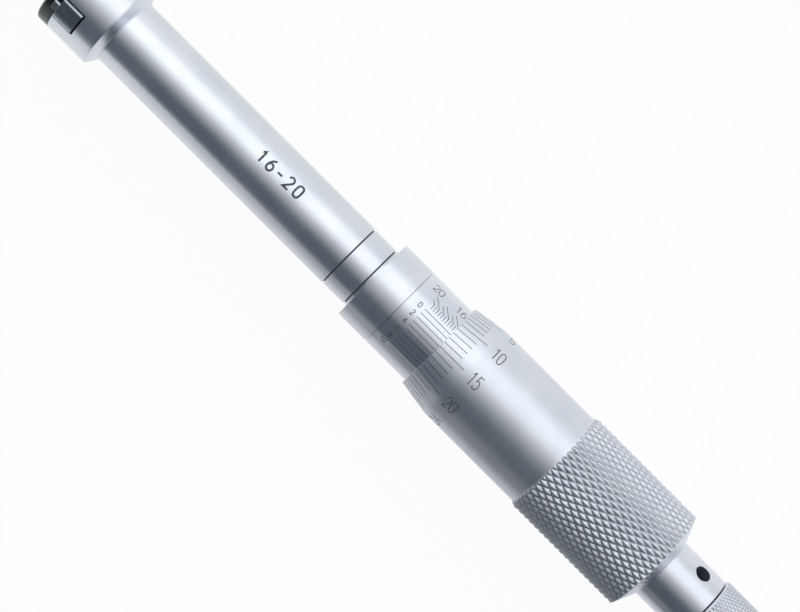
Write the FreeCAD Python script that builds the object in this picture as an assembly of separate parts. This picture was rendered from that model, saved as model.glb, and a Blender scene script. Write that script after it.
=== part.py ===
import FreeCAD, Part
import math
import os

os.makedirs("parts", exist_ok=True)

# Three-point bore gauge, lying on its side. Millimetres.
# The origin is the centre of the head's front face, +X runs back to the ratchet, +Z is up.

# Measuring range and the reading it is set to
range_low = 16.0
range_high = 20.0
reading = 16.124
cone_slope = 0.5            # anvil movement for each millimetre that the cone moves

# Head
anvil_count = 3
anvil_angle = 36.2          # first anvil, turned from +Z towards -Y
head_radius = 7.65
cap_thickness = 2.3
cap_edge = 0.3
head_length = 7.76
head_edge = 0.5
shoulder_length = 1.14
slot_width = 4.3
slot_length = 4.1
nose_bore_radius = 3.4
nose_bore_depth = 3.5

# Long tube behind the head
tube_radius = 5.7
tube_wall = 1.1
tube_length = 47.88
tube_edge = 0.12

# Anvils
side_clearance = 0.1
end_clearance = 0.1
stem_length = 3.6
foot_length = 2.6
foot_top = 3.56
anvil_root = 0.6
face_gap = 0.03
carbide_thickness = 1.0
carbide_chamfer = 0.3
lug_width = 1.8
lug_length = 1.05
lug_bottom = 4.6
lug_drop = 0.12
lug_chamfer = 0.25

# Spring ring round the anvils' feet
ring_wire_radius = 0.175
ring_radius = 3.385
ring_from_foot_end = 0.6
ring_gap_angle = 50.0

# Cap screws
screw_circle_radius = 5.2
screw_radius = 0.8
screw_head_radius = 1.5
screw_sink = 0.06
screw_length = 5.2
screw_socket_flats = 0.9
screw_socket_depth = 0.45
screw_hole_clearance = 0.1

# Measuring cone and push rod
apex_at_low = 3.924
cone_nose_radius = 0.5
cone_guide_length = 1.7
guide_clearance = 0.08
rod_radius = 2.0
rod_clearance = 0.05
rod_length = 75.5
rod_spigot_radius = 1.2
rod_spigot_length = 1.8
rod_collar_radius = 4.2
rod_collar_length = 2.0
bush_gap = 1.6
bush_length = 3.0

# Springs
rod_spring_radius = 3.2
rod_spring_wire = 0.35
rod_spring_length = 15.0
rod_spring_turns = 6
ratchet_spring_radius = 3.1
ratchet_spring_wire = 0.3
ratchet_spring_turns = 3
wire_flats = 6              # sides of a thin wire's outline

# Joint rings and barrel
groove_width = 0.24
joint_ring_step = 0.05
joint_ring_length = 4.26
neck_length = 0.4
spigot_length = 6.0
sleeve_wall = 1.1
barrel_length = 37.8
ball_chamber_radius = 3.6
ball_chamber_length = 10.0
nut_seat_length = 8.0

# Collar and graduated sleeve
sleeve_radius = 7.3
collar_length = 5.8
collar_edge = 0.3
seam_edge = 0.06
sleeve_length = 27.0
sleeve_to_thimble_at_low = 8.524

# Spindle, its nut and its ball
spindle_radius = 3.0
thread_clearance = 0.05
nut_radius = 4.4
nut_length = 15.0
nut_slot_count = 3
nut_slot_width = 0.5
nut_slot_length = 5.6
adjuster_step = 0.4
adjuster_length = 4.0
adjuster_slot = 1.2
adjuster_slot_depth = 1.0
ball_radius = 1.5
ball_seat_clearance = 0.03
ball_depth = 1.8
spindle_nose_radius = 2.4
spindle_nose_length = 3.4
taper_big_radius = 3.7
taper_small_radius = 3.0
taper_length = 6.0
stud_radius = 2.0
stud_length = 7.0

# Thimble
thimble_clearance = 0.1
thimble_lip_wall = 0.4
bevel_length = 5.5
bevel_blend = 6.0
thimble_wall = 1.3
thimble_front_length = 24.4
knurl_rise = 0.5
knurl_chamfer = 0.6
knurl_length = 20.78
rear_cone_length = 1.6
rear_radius = 5.6
hub_length = 12.6
hub_recess_radius = 4.5
hub_recess_depth = 5.3

# Ratchet
ratchet_radius = 5.35
ratchet_length = 8.6
spanner_hole_radius = 1.3
spanner_hole_depth = 2.7
spanner_hole_from_front = 4.9
spanner_hole_angle = 47.0   # turned from +Z towards +Y
ratchet_spigot_radius = 4.4
ratchet_spigot_length = 5.2
ratchet_tooth_count = 12
tooth_height = 0.5
tooth_inner_radius = 2.4
tooth_outer_radius = 4.0
tooth_gap = 0.05
knob_gap = 0.2
knob_radius = 5.8
knob_length = 11.4
knob_edge = 0.7
knob_wall = 1.2
knob_cavity_length = 7.0
knob_clearance = 0.05
disc_clearance = 0.2
disc_thickness = 1.0
ear_width = 1.2
ear_rise = 0.4
ear_clearance = 0.05
knob_screw_radius = 1.25
knob_screw_depth = 5.1
knob_screw_head_radius = 2.6
knob_screw_head_length = 1.4
knob_screw_sink = 2.0
knob_screw_slot = 0.6

# Positions along the axis that follow from the sizes
overshoot = 5.0
advance = reading - range_low
head_x = cap_thickness
shoulder_x = head_x + head_length
tube_x = shoulder_x + shoulder_length
tube_end_x = tube_x + tube_length
joint_ring_x = tube_end_x + groove_width
neck_x = joint_ring_x + joint_ring_length + groove_width
collar_x = neck_x + neck_length
sleeve_x = collar_x + collar_length
barrel_end_x = collar_x + barrel_length
nut_x = barrel_end_x - nut_seat_length
nut_end_x = nut_x + nut_length

stem_x = head_x + end_clearance
stem_end_x = stem_x + stem_length
foot_end_x = stem_end_x + foot_length
anvil_width = slot_width - 2 * side_clearance
anvil_travel = (range_high - range_low) / 2
anvil_reach = range_low / 2
carbide_seat = anvil_reach - carbide_thickness
ring_x = foot_end_x - ring_from_foot_end
bore_step_x = head_x + nose_bore_depth

tube_bore_radius = tube_radius - tube_wall
joint_ring_radius = tube_radius - joint_ring_step
barrel_radius = sleeve_radius - sleeve_wall
adjuster_radius = barrel_radius - adjuster_step
cone_guide_radius = tube_bore_radius - guide_clearance
cone_guide_x = apex_at_low + cone_guide_radius / cone_slope
cone_end_x = cone_guide_x + cone_guide_length
cone_nose_x = apex_at_low + cone_nose_radius / cone_slope
bush_x = cone_end_x + bush_gap
bush_end_x = bush_x + bush_length
rod_collar_x = bush_end_x + rod_spring_length + advance
rod_end_x = cone_end_x + rod_length
ball_x = rod_end_x + ball_radius

thimble_x = sleeve_x + sleeve_to_thimble_at_low
bevel_end_x = thimble_x + bevel_length
knurl_x = thimble_x + thimble_front_length
knurl_end_x = knurl_x + knurl_chamfer + knurl_length
thimble_end_x = knurl_end_x + rear_cone_length
hub_x = thimble_end_x - hub_length
thimble_bore_radius = sleeve_radius + thimble_clearance
thimble_lip_radius = thimble_bore_radius + thimble_lip_wall
thimble_radius = thimble_bore_radius + thimble_wall
knurl_radius = thimble_radius + knurl_rise
recess_x = thimble_end_x - hub_recess_depth
taper_x = recess_x - taper_length
stud_end_x = recess_x + stud_length
ratchet_x = thimble_end_x
ratchet_end_x = ratchet_x + ratchet_length
knob_x = ratchet_end_x + knob_gap
knob_end_x = knob_x + knob_length
disc_tip_x = ratchet_end_x + tooth_height + tooth_gap
disc_x = disc_tip_x + tooth_height
disc_end_x = disc_x + disc_thickness
cavity_end_x = knob_x + knob_cavity_length
screw_head_x = knob_end_x - knob_screw_sink
knob_cavity_radius = knob_radius - knob_wall
disc_radius = knob_cavity_radius - disc_clearance
ear_reach = knob_cavity_radius + ear_rise

ORIGIN = FreeCAD.Vector(0, 0, 0)
AXIS = FreeCAD.Vector(1, 0, 0)
UP = FreeCAD.Vector(0, 0, 1)
SIDE = FreeCAD.Vector(0, 1, 0)


def corner_arc(before, corner, after, radius):
    """Points of the arc that rounds a corner: where it starts, its middle and where it ends."""
    to_before = (before - corner).normalize()
    to_after = (after - corner).normalize()
    half_angle = to_before.getAngle(to_after) / 2
    reach = radius / math.tan(half_angle)
    bisector = (to_before + to_after).normalize()
    centre = corner + bisector * (radius / math.sin(half_angle))
    start = corner + to_before * reach
    end = corner + to_after * reach
    middle = centre - bisector * radius
    return start, middle, end


def outline(points):
    """Closed face in the XZ plane from (x, r) points; a third number rounds that corner."""
    corners = [FreeCAD.Vector(point[0], 0, point[1]) for point in points]
    radii = [point[2] if len(point) > 2 else 0 for point in points]
    count = len(corners)
    edges = []
    pieces = []
    for index, corner in enumerate(corners):
        if radii[index]:
            before = corners[index - 1]
            after = corners[(index + 1) % count]
            pieces.append(corner_arc(before, corner, after, radii[index]))
        else:
            pieces.append((corner, None, corner))
    for index, (start, middle, end) in enumerate(pieces):
        if middle is not None:
            edges.append(Part.Arc(start, middle, end).toShape())
        next_start = pieces[(index + 1) % count][0]
        edges.append(Part.LineSegment(end, next_start).toShape())
    return Part.Face(Part.Wire(edges))


def turned(points, angle=360):
    """Solid turned about the long axis from (x, r) points."""
    return outline(points).revolve(ORIGIN, AXIS, angle)


def rod(x_from, x_to, radius):
    """Plain cylinder on the long axis."""
    return Part.makeCylinder(radius, x_to - x_from, FreeCAD.Vector(x_from, 0, 0), AXIS)


def tube(x_from, x_to, outer, inner, edge=0):
    """Plain ring on the long axis, with a small chamfer on its two outer edges if one is given."""
    if edge:
        points = [(x_from, inner), (x_from, outer - edge), (x_from + edge, outer)]
        points += [(x_to - edge, outer), (x_to, outer - edge), (x_to, inner)]
        return turned(points)
    return turned([(x_from, inner), (x_from, outer), (x_to, outer), (x_to, inner)])


def radial_box(x_from, x_to, width, r_from, r_to):
    """Box that stands out from the axis along +Z."""
    corner = FreeCAD.Vector(x_from, -width / 2, r_from)
    return Part.makeBox(x_to - x_from, width, r_to - r_from, corner)


def turn_to(shape, angle):
    """Copy turned about the long axis, from +Z towards -Y."""
    copy = shape.copy()
    copy.rotate(ORIGIN, AXIS, angle)
    return copy


def around(shape, count, first_angle):
    """Copies of a shape spread evenly round the axis."""
    return [turn_to(shape, first_angle + 360 * index / count) for index in range(count)]


def slide_x(shape, distance):
    """Copy moved along the axis."""
    copy = shape.copy()
    copy.translate(AXIS * distance)
    return copy


def wire_section(centre, wire, across, up):
    """Closed outline of a thin wire, drawn with a few flats."""
    corners = []
    for index in range(wire_flats + 1):
        angle = 2 * math.pi * index / wire_flats
        corners.append(centre + across * (wire * math.cos(angle)) + up * (wire * math.sin(angle)))
    return Part.makePolygon(corners)


def coil(x_from, x_to, radius, wire, turns):
    """Compression spring on the axis, its end turns resting against the two faces."""
    height = x_to - x_from - 2 * wire
    path = Part.makeHelix(height / turns, height, radius)
    section = wire_section(FreeCAD.Vector(radius, 0, 0), wire, AXIS, UP)
    pipe = Part.Wire(path).makePipeShell([section], True, True)
    pipe.rotate(ORIGIN, SIDE, 90)
    pipe.translate(FreeCAD.Vector(x_from + wire, 0, 0))
    return pipe


def screw_places(shape):
    """Copies at the three screw holes, halfway between the anvils."""
    shape.translate(UP * screw_circle_radius)
    half_step = 180 / anvil_count
    return around(shape, anvil_count, anvil_angle + half_step)


def make_front_cap():
    nose_reach = anvil_travel / cone_slope
    hole_floor = cone_nose_x - nose_reach - 2 * end_clearance
    hole_radius = cone_slope * (cap_thickness - apex_at_low) + anvil_travel + end_clearance
    points = [(0, 0), (0, head_radius - cap_edge), (cap_edge, head_radius)]
    points += [(cap_thickness, head_radius), (cap_thickness, hole_radius)]
    points += [(hole_floor, hole_radius), (hole_floor, 0)]
    cap = turned(points)
    notch_x = stem_x - lug_length - end_clearance
    notch_bottom = lug_bottom - 4 * end_clearance
    notch_width = lug_width + 2 * side_clearance
    notch = radial_box(notch_x, cap_thickness + overshoot, notch_width, notch_bottom, head_radius + overshoot)
    hole_radius = screw_radius + screw_hole_clearance
    head = Part.makeCone(screw_head_radius + screw_sink, 0, screw_head_radius + screw_sink, ORIGIN, AXIS)
    screw_hole = rod(-overshoot, cap_thickness + overshoot, hole_radius).fuse(head)
    return cap.cut(around(notch, anvil_count, anvil_angle) + screw_places(screw_hole))


def make_cap_screws():
    cone_depth = screw_head_radius - screw_radius
    points = [(screw_sink, 0), (screw_sink, screw_head_radius), (screw_sink + cone_depth, screw_radius)]
    points += [(screw_length, screw_radius), (screw_length, 0)]
    screw = turned(points)
    hexagon_radius = screw_socket_flats / math.sqrt(3)
    corners = []
    for index in range(7):
        angle = math.radians(60 * index)
        y = hexagon_radius * math.cos(angle)
        z = hexagon_radius * math.sin(angle)
        corners.append(FreeCAD.Vector(screw_sink, y, z))
    socket = Part.Face(Part.makePolygon(corners)).extrude(AXIS * screw_socket_depth)
    return Part.makeCompound(screw_places(screw.cut(socket)))


def make_head_body():
    points = [(head_x, nose_bore_radius), (head_x, head_radius)]
    points += [(shoulder_x, head_radius, head_edge), (tube_x, tube_radius, head_edge)]
    points += [(tube_end_x - tube_edge, tube_radius), (tube_end_x, tube_radius - tube_edge)]
    points += [(tube_end_x, tube_bore_radius), (bore_step_x, tube_bore_radius)]
    points += [(bore_step_x, nose_bore_radius)]
    body = turned(points)
    slot = radial_box(head_x - overshoot, head_x + slot_length, slot_width, 0, head_radius + overshoot)
    foot_roof = foot_top + anvil_travel + end_clearance
    foot_room = radial_box(stem_end_x, foot_end_x + 2 * end_clearance, slot_width, 0, foot_roof)
    ring_roof = ring_radius + anvil_travel + 2 * ring_wire_radius
    ring_half = ring_wire_radius + end_clearance
    ring_room = rod(ring_x - ring_half, ring_x + ring_half, ring_roof)
    screw_hole = rod(head_x - overshoot, screw_length, screw_radius)
    cutters = around(slot, anvil_count, anvil_angle)
    cutters += around(foot_room, anvil_count, anvil_angle)
    cutters += screw_places(screw_hole)
    cutters.append(ring_room)
    return body.cut(cutters)


def anvil_wedge():
    """Sector that keeps an anvil's inner end clear of its two neighbours."""
    reach = anvil_reach + overshoot
    half_angle = math.radians(180 / anvil_count)
    tip = side_clearance / 2 / math.sin(half_angle)
    spread = reach * math.tan(half_angle)
    corners = [FreeCAD.Vector(0, 0, tip), FreeCAD.Vector(0, spread, tip + reach)]
    corners += [FreeCAD.Vector(0, -spread, tip + reach), FreeCAD.Vector(0, 0, tip)]
    return Part.Face(Part.makePolygon(corners)).extrude(AXIS * (foot_end_x + overshoot))


def cone_gap_at(x):
    """Radius of an anvil's inner face where it rides on the cone."""
    return cone_slope * (x - apex_at_low) + face_gap


def make_anvil():
    flat_end_x = apex_at_low + (anvil_root - face_gap) / cone_slope
    points = [(stem_x, anvil_root), (flat_end_x, anvil_root), (foot_end_x, cone_gap_at(foot_end_x))]
    points += [(foot_end_x, foot_top), (stem_end_x, foot_top), (stem_end_x, carbide_seat)]
    points += [(stem_x, carbide_seat)]
    face = outline(points)
    face.translate(SIDE * (-anvil_width / 2))
    stem = face.extrude(SIDE * anvil_width)
    lug_top = anvil_reach - lug_drop
    lug = radial_box(stem_x - lug_length, stem_x, lug_width, lug_bottom, lug_top)
    top_edges = [edge for edge in lug.Edges if edge.BoundBox.XLength > lug_length / 2
                 and edge.BoundBox.ZMin > lug_top - lug_chamfer]
    lug = lug.makeChamfer(lug_chamfer, top_edges)
    ring_seat = ring_radius - ring_wire_radius
    ring_half = ring_wire_radius + ring_wire_radius / 4
    ring_notch = tube(ring_x - ring_half, ring_x + ring_half, head_radius, ring_seat)
    return stem.common(anvil_wedge()).fuse(lug).cut(ring_notch)


def make_carbide_tip():
    half = anvil_width / 2
    inset = half - carbide_chamfer
    shoulder = math.sqrt(anvil_reach ** 2 - inset ** 2)
    edge = shoulder - carbide_chamfer
    left_top = FreeCAD.Vector(stem_x, -inset, shoulder)
    right_top = FreeCAD.Vector(stem_x, inset, shoulder)
    crown = FreeCAD.Vector(stem_x, 0, anvil_reach)
    sides = [right_top, FreeCAD.Vector(stem_x, half, edge), FreeCAD.Vector(stem_x, half, carbide_seat)]
    sides += [FreeCAD.Vector(stem_x, -half, carbide_seat), FreeCAD.Vector(stem_x, -half, edge), left_top]
    arc = Part.Arc(left_top, crown, right_top).toShape()
    wire = Part.Wire([arc] + Part.makePolygon(sides).Edges)
    return Part.Face(wire).extrude(AXIS * stem_length)


def make_anvil_spring():
    rest_radius = ring_radius + advance * cone_slope
    section = wire_section(FreeCAD.Vector(ring_x, 0, rest_radius), ring_wire_radius, AXIS, UP)
    ring = Part.Face(section).revolve(ORIGIN, AXIS, 360 - ring_gap_angle)
    return turn_to(ring, anvil_angle + ring_gap_angle)


def make_measuring_cone():
    socket_x = cone_end_x - rod_spigot_length
    points = [(cone_nose_x, 0), (cone_nose_x, cone_nose_radius), (cone_guide_x, cone_guide_radius)]
    points += [(cone_end_x, cone_guide_radius), (cone_end_x, rod_spigot_radius)]
    points += [(socket_x, rod_spigot_radius), (socket_x, 0)]
    return turned(points)


def make_push_rod():
    collar_end_x = rod_collar_x + rod_collar_length
    points = [(cone_end_x - rod_spigot_length, 0), (cone_end_x - rod_spigot_length, rod_spigot_radius)]
    points += [(cone_end_x, rod_spigot_radius), (cone_end_x, rod_radius), (rod_collar_x, rod_radius)]
    points += [(rod_collar_x, rod_collar_radius), (collar_end_x, rod_collar_radius)]
    points += [(collar_end_x, rod_radius), (rod_end_x, rod_radius), (rod_end_x, 0)]
    return turned(points)


def make_inner_barrel():
    spigot_x = tube_end_x - spigot_length
    rod_bore = rod_radius + rod_clearance
    chamber_x = nut_x - ball_chamber_length
    points = [(spigot_x, rod_bore), (spigot_x, tube_bore_radius), (neck_x, tube_bore_radius)]
    points += [(neck_x, joint_ring_radius), (collar_x, joint_ring_radius), (collar_x, barrel_radius)]
    points += [(barrel_end_x, barrel_radius), (barrel_end_x, nut_radius), (nut_x, nut_radius)]
    points += [(nut_x, ball_chamber_radius), (chamber_x, ball_chamber_radius), (chamber_x, rod_bore)]
    return turned(points)


def make_front_collar():
    points = [(collar_x, barrel_radius), (collar_x, sleeve_radius, collar_edge)]
    points += [(sleeve_x - seam_edge, sleeve_radius), (sleeve_x, sleeve_radius - seam_edge)]
    points += [(sleeve_x, barrel_radius)]
    return turned(points)


def make_graduated_sleeve():
    return tube(sleeve_x, sleeve_x + sleeve_length, sleeve_radius, barrel_radius, seam_edge)


def make_spindle_nut():
    nut = tube(nut_x, nut_end_x, nut_radius, spindle_radius + thread_clearance)
    slot = radial_box(nut_end_x - nut_slot_length, nut_end_x + overshoot, nut_slot_width, 0, nut_radius + overshoot)
    return nut.cut(around(slot, nut_slot_count, 0))


def make_adjusting_nut():
    end_x = nut_end_x - adjuster_slot_depth
    nut = tube(end_x - adjuster_length, end_x, adjuster_radius, nut_radius, tube_edge)
    slot = radial_box(end_x - adjuster_slot_depth, end_x + overshoot, adjuster_slot, nut_radius - overshoot,
                      adjuster_radius + overshoot)
    return nut.cut(around(slot, 2, 90))


def make_spindle():
    socket_radius = ball_radius + ball_seat_clearance
    nose_x = ball_x - (ball_depth - ball_radius)
    thread_x = nose_x + spindle_nose_length
    socket_floor = ball_x + ball_radius
    points = [(nose_x, socket_radius), (nose_x, spindle_nose_radius), (thread_x, spindle_nose_radius)]
    points += [(thread_x, spindle_radius), (taper_x, spindle_radius), (taper_x, taper_big_radius)]
    points += [(recess_x, taper_small_radius), (recess_x, stud_radius), (stud_end_x, stud_radius)]
    points += [(stud_end_x, 0), (socket_floor, 0), (socket_floor, socket_radius)]
    return turned(points)


def make_thrust_ball():
    return Part.makeSphere(ball_radius, FreeCAD.Vector(ball_x, 0, 0))


def make_thimble():
    taper_run = taper_x - hub_x
    mouth_radius = taper_big_radius + taper_run * (taper_big_radius - taper_small_radius) / taper_length
    points = [(thimble_x, thimble_bore_radius), (thimble_x, thimble_lip_radius)]
    points += [(bevel_end_x, thimble_radius, bevel_blend), (knurl_x, thimble_radius)]
    points += [(knurl_x + knurl_chamfer, knurl_radius), (knurl_end_x, knurl_radius)]
    points += [(thimble_end_x, rear_radius), (thimble_end_x, hub_recess_radius)]
    points += [(recess_x, hub_recess_radius), (recess_x, taper_small_radius)]
    points += [(hub_x, mouth_radius), (hub_x, thimble_bore_radius)]
    return turned(points)


def saw_tooth(root_x, tip_x):
    """One ratchet tooth at the top of its circle: one steep flank, one long ramp."""
    step = math.radians(360 / ratchet_tooth_count)
    half = tooth_inner_radius * math.tan(step / 2)
    corners = [FreeCAD.Vector(root_x, -half, tooth_inner_radius)]
    corners += [FreeCAD.Vector(tip_x, -half, tooth_inner_radius)]
    corners += [FreeCAD.Vector(root_x, half, tooth_inner_radius), corners[0]]
    return Part.Face(Part.makePolygon(corners)).extrude(UP * (tooth_outer_radius - tooth_inner_radius))


def make_ratchet_body():
    stud_floor = stud_end_x + end_clearance
    hole_x = ratchet_end_x - knob_screw_depth
    spigot_x = ratchet_x - ratchet_spigot_length
    front = [(spigot_x, stud_radius), (spigot_x, ratchet_spigot_radius), (ratchet_x, ratchet_spigot_radius)]
    front += [(ratchet_x, ratchet_radius), (ratchet_end_x - tube_edge, ratchet_radius)]
    front += [(ratchet_end_x, ratchet_radius - tube_edge), (ratchet_end_x, knob_screw_radius)]
    front += [(hole_x, knob_screw_radius), (hole_x, 0), (stud_floor, 0), (stud_floor, stud_radius)]
    body = turned(front)
    root_x = ratchet_end_x - seam_edge
    teeth = around(saw_tooth(root_x, ratchet_end_x + tooth_height), ratchet_tooth_count, 0)
    body = body.fuse(teeth)
    floor = ratchet_radius - spanner_hole_depth
    hole_base = FreeCAD.Vector(ratchet_x + spanner_hole_from_front, 0, floor)
    hole = Part.makeCylinder(spanner_hole_radius, spanner_hole_depth + overshoot, hole_base, UP)
    return body.cut(turn_to(hole, -spanner_hole_angle))


def ears(x_from, x_to, clearance):
    """Bar that keys the ratchet disc to the knob, or with clearance the keyways it slides in."""
    width = ear_width + 2 * clearance
    reach = ear_reach + clearance
    corner = FreeCAD.Vector(x_from, -width / 2, -reach)
    return Part.makeBox(x_to - x_from, width, 2 * reach, corner)


def make_ratchet_disc():
    disc = rod(disc_x, disc_end_x, disc_radius).fuse(ears(disc_x, disc_end_x, 0))
    teeth = around(saw_tooth(disc_x + seam_edge, disc_tip_x), ratchet_tooth_count, 0)
    bore = rod(disc_x - overshoot, disc_end_x + overshoot, knob_screw_radius + knob_clearance)
    return disc.fuse(teeth).cut(bore)


def make_ratchet_knob():
    bore = knob_screw_radius + knob_clearance
    head_bore = knob_screw_head_radius + 2 * knob_clearance
    points = [(knob_x, knob_cavity_radius), (knob_x, knob_radius - knob_edge / 2)]
    points += [(knob_x + knob_edge / 2, knob_radius), (knob_end_x - knob_edge, knob_radius)]
    points += [(knob_end_x, knob_radius - knob_edge), (knob_end_x, head_bore), (screw_head_x, head_bore)]
    points += [(screw_head_x, bore), (cavity_end_x, bore), (cavity_end_x, knob_cavity_radius)]
    keyways = ears(knob_x - overshoot, cavity_end_x, ear_clearance)
    keyways = keyways.cut(rod(knob_x - overshoot, cavity_end_x, knob_cavity_radius - tube_edge))
    return turned(points).cut(keyways)


def make_ratchet_screw():
    tip_x = ratchet_end_x - knob_screw_depth
    seat_x = screw_head_x + knob_clearance
    head_end_x = seat_x + knob_screw_head_length
    points = [(tip_x, 0), (tip_x, knob_screw_radius), (seat_x, knob_screw_radius)]
    points += [(seat_x, knob_screw_head_radius), (head_end_x - tube_edge, knob_screw_head_radius)]
    points += [(head_end_x, knob_screw_head_radius - tube_edge), (head_end_x, 0)]
    reach = knob_screw_head_radius + overshoot
    slot_x = head_end_x - knob_screw_slot
    slot = Part.makeBox(overshoot, knob_screw_slot, 2 * reach, FreeCAD.Vector(slot_x, -knob_screw_slot / 2, -reach))
    return turned(points).cut(slot)


def outward(shape, angle):
    """An anvil's piece at the reading, turned to its place."""
    moved = shape.copy()
    moved.translate(UP * (advance * cone_slope))
    return turn_to(moved, angle)


def build():
    """All pieces by name, as they stand at the reading."""
    pieces = {
        "front_cap": make_front_cap(),
        "cap_screws": make_cap_screws(),
        "head_body": make_head_body(),
        "guide_bush": tube(bush_x, bush_end_x, tube_bore_radius, rod_radius + rod_clearance),
        "inner_barrel": make_inner_barrel(),
        "joint_ring": tube(joint_ring_x, joint_ring_x + joint_ring_length, joint_ring_radius,
                           tube_bore_radius, tube_edge),
        "front_collar": make_front_collar(),
        "graduated_sleeve": make_graduated_sleeve(),
        "spindle_nut": make_spindle_nut(),
        "adjusting_nut": make_adjusting_nut(),
        "rod_return_spring": coil(bush_end_x, rod_collar_x - advance, rod_spring_radius, rod_spring_wire,
                                  rod_spring_turns),
        "anvil_spring": make_anvil_spring(),
    }
    for index in range(anvil_count):
        angle = anvil_angle + 360 * index / anvil_count
        pieces[f"anvil_{index + 1}"] = outward(make_anvil(), angle)
        pieces[f"carbide_tip_{index + 1}"] = outward(make_carbide_tip(), angle)
    moving = {
        "measuring_cone": make_measuring_cone(),
        "push_rod": make_push_rod(),
        "spindle": make_spindle(),
        "thrust_ball": make_thrust_ball(),
        "thimble": make_thimble(),
        "ratchet_body": make_ratchet_body(),
        "ratchet_screw": make_ratchet_screw(),
        "ratchet_disc": make_ratchet_disc(),
        "ratchet_spring": coil(disc_end_x, cavity_end_x, ratchet_spring_radius, ratchet_spring_wire,
                               ratchet_spring_turns),
        "ratchet_knob": make_ratchet_knob(),
    }
    for name, shape in moving.items():
        pieces[name] = slide_x(shape, -advance)
    return pieces


for name, shape in build().items():
    if not shape.isValid():
        print("not valid:", name)
    box = shape.BoundBox
    print(f"{name:20s} solids {len(shape.Solids)}  volume {shape.Volume:9.2f}"
          f"  x {box.XMin:7.2f} to {box.XMax:7.2f}  r {box.ZMax:6.2f}")
    shape.exportStep(os.path.join("parts", name + ".step"))
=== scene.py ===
import bmesh
import bpy
import math
import numpy as np
from mathutils import Matrix


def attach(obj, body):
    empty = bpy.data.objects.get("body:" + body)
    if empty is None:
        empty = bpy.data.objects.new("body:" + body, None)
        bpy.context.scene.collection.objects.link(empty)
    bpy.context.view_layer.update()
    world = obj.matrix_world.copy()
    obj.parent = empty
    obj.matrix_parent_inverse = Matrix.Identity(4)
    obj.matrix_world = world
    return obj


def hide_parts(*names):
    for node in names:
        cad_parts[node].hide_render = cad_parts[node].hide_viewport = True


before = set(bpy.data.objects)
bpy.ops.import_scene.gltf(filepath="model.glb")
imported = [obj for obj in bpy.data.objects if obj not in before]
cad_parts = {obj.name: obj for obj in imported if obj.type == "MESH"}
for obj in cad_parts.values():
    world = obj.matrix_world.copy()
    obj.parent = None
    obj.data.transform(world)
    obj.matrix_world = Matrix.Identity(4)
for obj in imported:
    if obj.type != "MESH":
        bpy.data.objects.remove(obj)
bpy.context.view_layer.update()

millimetre = 0.001
fineEdge = 0.03         # radius in mm of an edge that is only just broken
print("frame loaded:", len(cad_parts), "nodes")


# Shapes: all lengths are in millimetres until a mesh is made

def nodeSpan(name):
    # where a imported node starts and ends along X, and how far it reaches from the axis
    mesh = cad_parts[name].data
    points = np.empty(len(mesh.vertices) * 3, np.float32)
    mesh.vertices.foreach_get("co", points)
    points = points.reshape(-1, 3).astype(float) / millimetre
    return points[:, 0].min(), points[:, 0].max(), np.hypot(points[:, 1], points[:, 2]).max()


def roundedPath(corners, hold=0.02):
    # Corners (a, b, radius) joined into a closed line. A corner with a radius becomes an arc that touches both of
    # its sides, with one more point a little way along each side, so that smooth shading keeps the sides straight.
    runs = []
    for index, (a, b, radius) in enumerate(corners):
        corner = np.array([a, b], float)
        if radius == 0:
            runs.append(corner[None])
            continue
        before = np.array(corners[index - 1][:2]) - corner
        after = np.array(corners[(index + 1) % len(corners)][:2]) - corner
        before /= np.linalg.norm(before)
        after /= np.linalg.norm(after)
        half = math.acos(np.clip(before @ after, -1, 1)) / 2
        reach = radius / math.tan(half)
        bisector = (before + after) / np.linalg.norm(before + after)
        centre = corner + bisector * radius / math.sin(half)
        first = corner + before * reach - centre
        last = corner + after * reach - centre
        turn = math.atan2(first[0] * last[1] - first[1] * last[0], first @ last)
        steps = np.linspace(0, turn, max(4, math.ceil(abs(turn) / 0.3)) + 1)
        across = first[0] * np.cos(steps) - first[1] * np.sin(steps)
        along = first[0] * np.sin(steps) + first[1] * np.cos(steps)
        arc = centre + np.stack([across, along], 1)
        runs += [(corner + before * (reach + hold))[None], arc, (corner + after * (reach + hold))[None]]
    return np.vstack(runs)


def gridFaces(rows, columns, closed):
    # four-sided faces of a grid whose columns go round, and whose rows do too if it is closed
    row, column = np.meshgrid(np.arange(rows if closed else rows - 1), np.arange(columns), indexing="ij")
    below, right = (row + 1) % rows, (column + 1) % columns
    corners = [row * columns + column, below * columns + column, below * columns + right, row * columns + right]
    return np.stack(corners, -1).reshape(-1, 4)


def runsBackwards(path):
    # whether a closed line of (x, r) goes round the way that would turn its faces inwards
    shifted = np.roll(path, -1, 0)
    return (path[:, 0] * shifted[:, 1] - shifted[:, 0] * path[:, 1]).sum() < 0


def turnedSurface(path, segments, radii=None):
    # A closed line of (x, r) carried round the X axis: at angle a from +Z towards -Y a point lies at
    # y = -r sin a, z = r cos a. The line runs so that the faces look outwards.
    if runsBackwards(path):
        path = path[::-1]
        radii = None if radii is None else radii[::-1]
    angles = np.arange(segments) * 2 * math.pi / segments
    reach = path[:, 1:] * np.ones(segments) if radii is None else radii
    x = path[:, :1] * np.ones(segments)
    points = np.stack([x, -reach * np.sin(angles), reach * np.cos(angles)], 2).reshape(-1, 3)
    return points, gridFaces(len(path), segments, True)


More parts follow.
